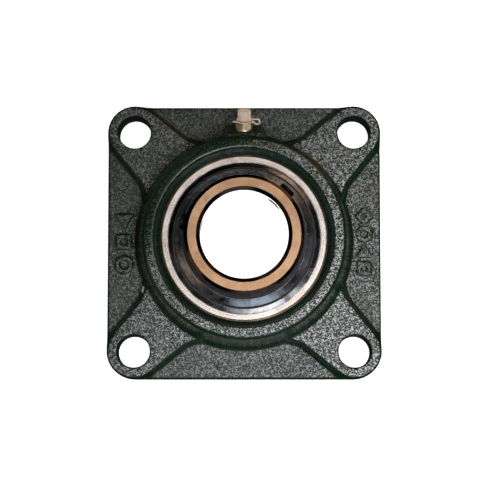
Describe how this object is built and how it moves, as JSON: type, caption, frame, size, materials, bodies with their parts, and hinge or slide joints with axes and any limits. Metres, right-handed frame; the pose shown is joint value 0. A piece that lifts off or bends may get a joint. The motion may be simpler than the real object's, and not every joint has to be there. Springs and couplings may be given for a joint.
{
  "type": "flange mount bearing",
  "caption": "Square four-bolt flange bearing unit: painted cast housing, self-aligning sealed ball insert with locking screws, capped grease nipple.",
  "frame": {"origin": "centre of the bolt square, in the mounting face", "axes": "+Z along the shaft axis away from the mounting surface, +Y towards the grease nipple"},
  "size_m": [0.162, 0.162, 0.0584],
  "materials": {
    "housing_paint": "satin dark green enamel over a sand-cast skin",
    "bearing_steel": "ground steel under a film of preserving oil",
    "ball_steel": "polished",
    "pressed_steel": "pressed sheet",
    "seal_steel": "pressed sheet, dark",
    "seal_rubber": "matte",
    "flinger_steel": "bright pressed sheet",
    "black_oxide_steel": "black oxide",
    "zinc_yellow_steel": "yellow passivated zinc",
    "cap_plastic": "soft translucent polyethylene"
  },
  "bodies": {
    "housing": {"housing": "housing_paint", "nipple_body": "zinc_yellow_steel", "nipple_spring": "pressed_steel", "cap_tether": "cap_plastic"},
    "insert": {"outer_ring": "bearing_steel", "seal_plate_front": "seal_steel", "seal_plate_back": "seal_steel", "seal_lip_front": "seal_rubber", "seal_lip_back": "seal_rubber"},
    "rotor": {"inner_ring": "bearing_steel", "flinger_front": "flinger_steel", "flinger_back": "flinger_steel"},
    "cage": {"cage_front": "pressed_steel", "cage_back": "pressed_steel", "cage_rivets": "pressed_steel"},
    "ball_01": {"ball_01": "ball_steel"},
    "ball_02": {"ball_02": "ball_steel"},
    "ball_03": {"ball_03": "ball_steel"},
    "ball_04": {"ball_04": "ball_steel"},
    "ball_05": {"ball_05": "ball_steel"},
    "ball_06": {"ball_06": "ball_steel"},
    "ball_07": {"ball_07": "ball_steel"},
    "ball_08": {"ball_08": "ball_steel"},
    "ball_09": {"ball_09": "ball_steel"},
    "ball_10": {"ball_10": "ball_steel"},
    "locking_screw_a": {"locking_screw_a": "black_oxide_steel"},
    "locking_screw_b": {"locking_screw_b": "black_oxide_steel"},
    "nipple_check_ball": {"nipple_check_ball": "ball_steel"},
    "nipple_cap": {"nipple_cap": "cap_plastic"}
  },
  "joints": [
    {"name": "insert_tilt", "type": "hinge", "parent": "housing", "child": "insert", "pos_m": [0, 0, 0.025], "axis": [1, 0, 0], "range_deg": [-2, 2]},
    {"name": "shaft_spin", "type": "hinge", "parent": "insert", "child": "rotor", "pos_m": [0, 0, 0.025], "axis": [0, 0, 1], "continuous": true},
    {"name": "cage_spin", "type": "hinge", "parent": "insert", "child": "cage", "pos_m": [0, 0, 0.025], "axis": [0, 0, 1], "continuous": true},
    {"name": "ball_01_spin", "type": "hinge", "parent": "cage", "child": "ball_01", "pos_m": [0.03875, 0, 0.025], "axis": [0, 0, 1], "continuous": true},
    {"name": "ball_02_spin", "type": "hinge", "parent": "cage", "child": "ball_02", "pos_m": [0.03135, 0.02278, 0.025], "axis": [0, 0, 1], "continuous": true},
    {"name": "ball_03_spin", "type": "hinge", "parent": "cage", "child": "ball_03", "pos_m": [0.01197, 0.03685, 0.025], "axis": [0, 0, 1], "continuous": true},
    {"name": "ball_04_spin", "type": "hinge", "parent": "cage", "child": "ball_04", "pos_m": [-0.01197, 0.03685, 0.025], "axis": [0, 0, 1], "continuous": true},
    {"name": "ball_05_spin", "type": "hinge", "parent": "cage", "child": "ball_05", "pos_m": [-0.03135, 0.02278, 0.025], "axis": [0, 0, 1], "continuous": true},
    {"name": "ball_06_spin", "type": "hinge", "parent": "cage", "child": "ball_06", "pos_m": [-0.03875, 0, 0.025], "axis": [0, 0, 1], "continuous": true},
    {"name": "ball_07_spin", "type": "hinge", "parent": "cage", "child": "ball_07", "pos_m": [-0.03135, -0.02278, 0.025], "axis": [0, 0, 1], "continuous": true},
    {"name": "ball_08_spin", "type": "hinge", "parent": "cage", "child": "ball_08", "pos_m": [-0.01197, -0.03685, 0.025], "axis": [0, 0, 1], "continuous": true},
    {"name": "ball_09_spin", "type": "hinge", "parent": "cage", "child": "ball_09", "pos_m": [0.01197, -0.03685, 0.025], "axis": [0, 0, 1], "continuous": true},
    {"name": "ball_10_spin", "type": "hinge", "parent": "cage", "child": "ball_10", "pos_m": [0.03135, -0.02278, 0.025], "axis": [0, 0, 1], "continuous": true},
    {"name": "locking_screw_a_drive", "type": "slide", "parent": "rotor", "child": "locking_screw_a", "axis": [0.682, 0.7314, 0], "range_m": [-0.0022, 0.002]},
    {"name": "locking_screw_b_drive", "type": "slide", "parent": "rotor", "child": "locking_screw_b", "axis": [-0.9744, 0.225, 0], "range_m": [-0.0022, 0.002]},
    {"name": "check_ball_lift", "type": "slide", "parent": "housing", "child": "nipple_check_ball", "axis": [0, -0.9272, -0.3746], "range_m": [0, 0.0006], "stiffness_N_per_m": 80, "springref_m": -0.0005, "deforming": ["nipple_spring"]},
    {"name": "nipple_cap_pull", "type": "slide", "parent": "housing", "child": "nipple_cap", "axis": [0, 0.9272, 0.3746], "range_m": [0, 0.0054], "deforming": ["cap_tether"]}
  ],
  "couplings": [
    {"joint": "cage_spin", "follows": "shaft_spin", "ratio": 0.40782},
    {"joint": "ball_01_spin", "follows": "shaft_spin", "ratio": -2.6199},
    {"joint": "ball_02_spin", "follows": "shaft_spin", "ratio": -2.6199},
    {"joint": "ball_03_spin", "follows": "shaft_spin", "ratio": -2.6199},
    {"joint": "ball_04_spin", "follows": "shaft_spin", "ratio": -2.6199},
    {"joint": "ball_05_spin", "follows": "shaft_spin", "ratio": -2.6199},
    {"joint": "ball_06_spin", "follows": "shaft_spin", "ratio": -2.6199},
    {"joint": "ball_07_spin", "follows": "shaft_spin", "ratio": -2.6199},
    {"joint": "ball_08_spin", "follows": "shaft_spin", "ratio": -2.6199},
    {"joint": "ball_09_spin", "follows": "shaft_spin", "ratio": -2.6199},
    {"joint": "ball_10_spin", "follows": "shaft_spin", "ratio": -2.6199}
  ]
}
